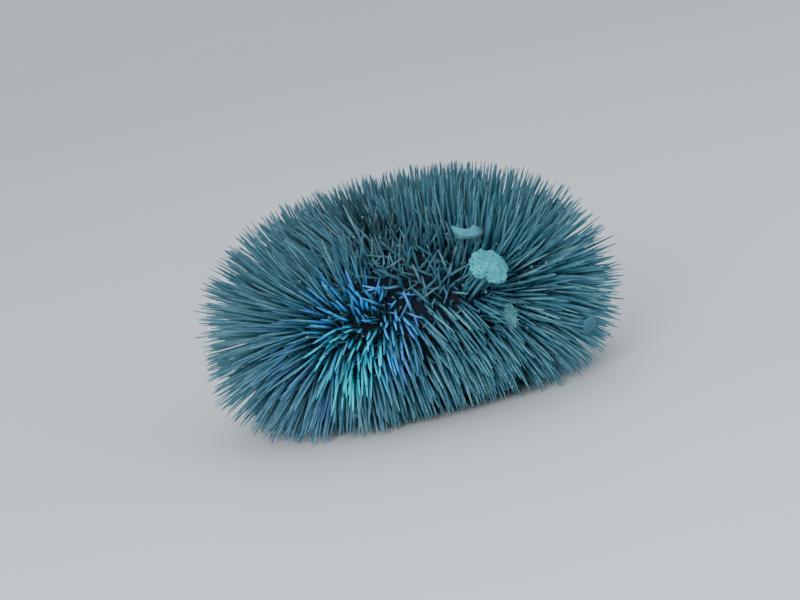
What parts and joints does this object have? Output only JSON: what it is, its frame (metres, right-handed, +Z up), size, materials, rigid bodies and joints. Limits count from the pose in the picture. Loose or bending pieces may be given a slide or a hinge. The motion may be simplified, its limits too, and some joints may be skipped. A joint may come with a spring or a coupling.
{
  "type": "west indian sea egg",
  "caption": "Still life-size model of a West Indian sea egg, a domed sea urchin covered in short pale tapered spines, resting on its underside.",
  "frame": {"origin": "on the floor under the middle of the animal, at the level of the flats that its lowest spines stand on", "axes": "+Z up through the apical disc, -Y towards the front of the picture"},
  "size_m": [0.1472, 0.1462, 0.0761],
  "materials": {
    "spines": "matt, finely ribbed pale calcite spines over a near-black test",
    "test": "matt dark skin over calcite plates",
    "membrane": "soft satin skin around the mouth",
    "teeth": "smooth hard white",
    "coral": "matt knobbly coral rubble",
    "shell": "matt worn shell",
    "weed": "matt soft scrap of weed"
  },
  "bodies": {
    "root": {"interambulacrum_1": "spines", "interambulacrum_2": "spines", "interambulacrum_3": "spines", "interambulacrum_4": "spines", "interambulacrum_5": "spines", "ambulacrum_1": "spines", "ambulacrum_2": "spines", "ambulacrum_3": "spines", "ambulacrum_4": "spines", "ambulacrum_5": "spines", "apical_disc": "test", "peristome": "membrane", "tooth_1": "teeth", "tooth_2": "teeth", "tooth_3": "teeth", "tooth_4": "teeth", "tooth_5": "teeth", "coral_chip": "coral", "shell_flake": "shell", "weed_flake": "weed", "smooth_chip": "shell"}
  },
  "joints": []
}
